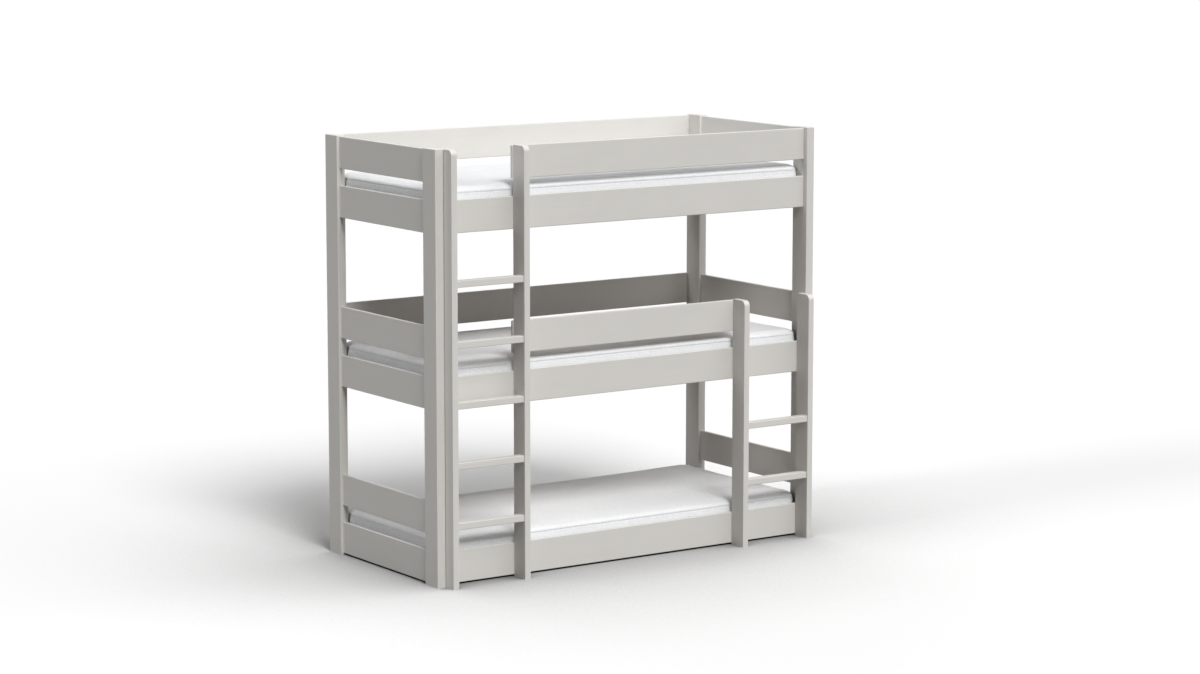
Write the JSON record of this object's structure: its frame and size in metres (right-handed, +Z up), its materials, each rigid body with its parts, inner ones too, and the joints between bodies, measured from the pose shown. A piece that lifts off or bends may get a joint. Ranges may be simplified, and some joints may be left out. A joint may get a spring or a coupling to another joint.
{
  "type": "triple bunk bed",
  "caption": "Tall bunk bed of painted boards between corner posts, its beds stacked one over another, with guard boards, a tall and a short ladder, and loose mattresses on slats.",
  "frame": {"origin": "on the floor, under the middle of the footprint, ladders included", "axes": "+X right for someone facing the ladders, along the beds; +Y to the back; +Z up"},
  "size_m": [2.09, 1.0256, 1.95],
  "materials": {
    "painted_wood": "satin",
    "slat_wood": "matte",
    "dowel_wood": "matte",
    "mattress_cover": "matte",
    "steel": "satin"
  },
  "bodies": {
    "bed_frame": {"front_left_post": "painted_wood", "front_right_post": "painted_wood", "back_left_post": "painted_wood", "back_right_post": "painted_wood", "low_front_rail": "painted_wood", "low_back_rail": "painted_wood", "low_left_rail": "painted_wood", "low_right_rail": "painted_wood", "low_left_guard": "painted_wood", "low_right_guard": "painted_wood", "mid_front_rail": "painted_wood", "mid_back_rail": "painted_wood", "mid_left_rail": "painted_wood", "mid_right_rail": "painted_wood", "mid_front_guard": "painted_wood", "mid_back_guard": "painted_wood", "mid_left_guard": "painted_wood", "mid_right_guard": "painted_wood", "top_front_rail": "painted_wood", "top_back_rail": "painted_wood", "top_left_rail": "painted_wood", "top_right_rail": "painted_wood", "top_front_guard": "painted_wood", "top_back_guard": "painted_wood", "top_left_guard": "painted_wood", "top_right_guard": "painted_wood", "tall_ladder_left_stile": "painted_wood", "tall_ladder_right_stile": "painted_wood", "tall_ladder_rung_1": "painted_wood", "tall_ladder_rung_2": "painted_wood", "tall_ladder_rung_3": "painted_wood", "tall_ladder_rung_4": "painted_wood", "tall_ladder_rung_5": "painted_wood", "short_ladder_left_stile": "painted_wood", "short_ladder_right_stile": "painted_wood", "short_ladder_rung_1": "painted_wood", "short_ladder_rung_2": "painted_wood", "low_front_ledger": "slat_wood", "low_back_ledger": "slat_wood", "low_slats": "slat_wood", "mid_front_ledger": "slat_wood", "mid_back_ledger": "slat_wood", "mid_slats": "slat_wood", "top_front_ledger": "slat_wood", "top_back_ledger": "slat_wood", "top_slats": "slat_wood", "rail_dowels": "dowel_wood", "end_frame_dowels": "dowel_wood", "rung_dowels": "dowel_wood", "bed_bolts": "steel", "barrel_nuts": "steel", "ladder_bolts": "steel", "insert_nuts": "steel", "ledger_screws": "steel", "slat_screws": "steel"},
    "low_mattress": {"low_mattress": "mattress_cover"},
    "mid_mattress": {"mid_mattress": "mattress_cover"},
    "top_mattress": {"top_mattress": "mattress_cover"}
  },
  "joints": [
    {"name": "low_mattress_lift", "type": "slide", "parent": "bed_frame", "child": "low_mattress", "axis": [0, 0, 1], "range_m": [0, 0.3]},
    {"name": "mid_mattress_lift", "type": "slide", "parent": "bed_frame", "child": "mid_mattress", "axis": [0, 0, 1], "range_m": [0, 0.3]},
    {"name": "top_mattress_lift", "type": "slide", "parent": "bed_frame", "child": "top_mattress", "axis": [0, 0, 1], "range_m": [0, 0.3]}
  ]
}
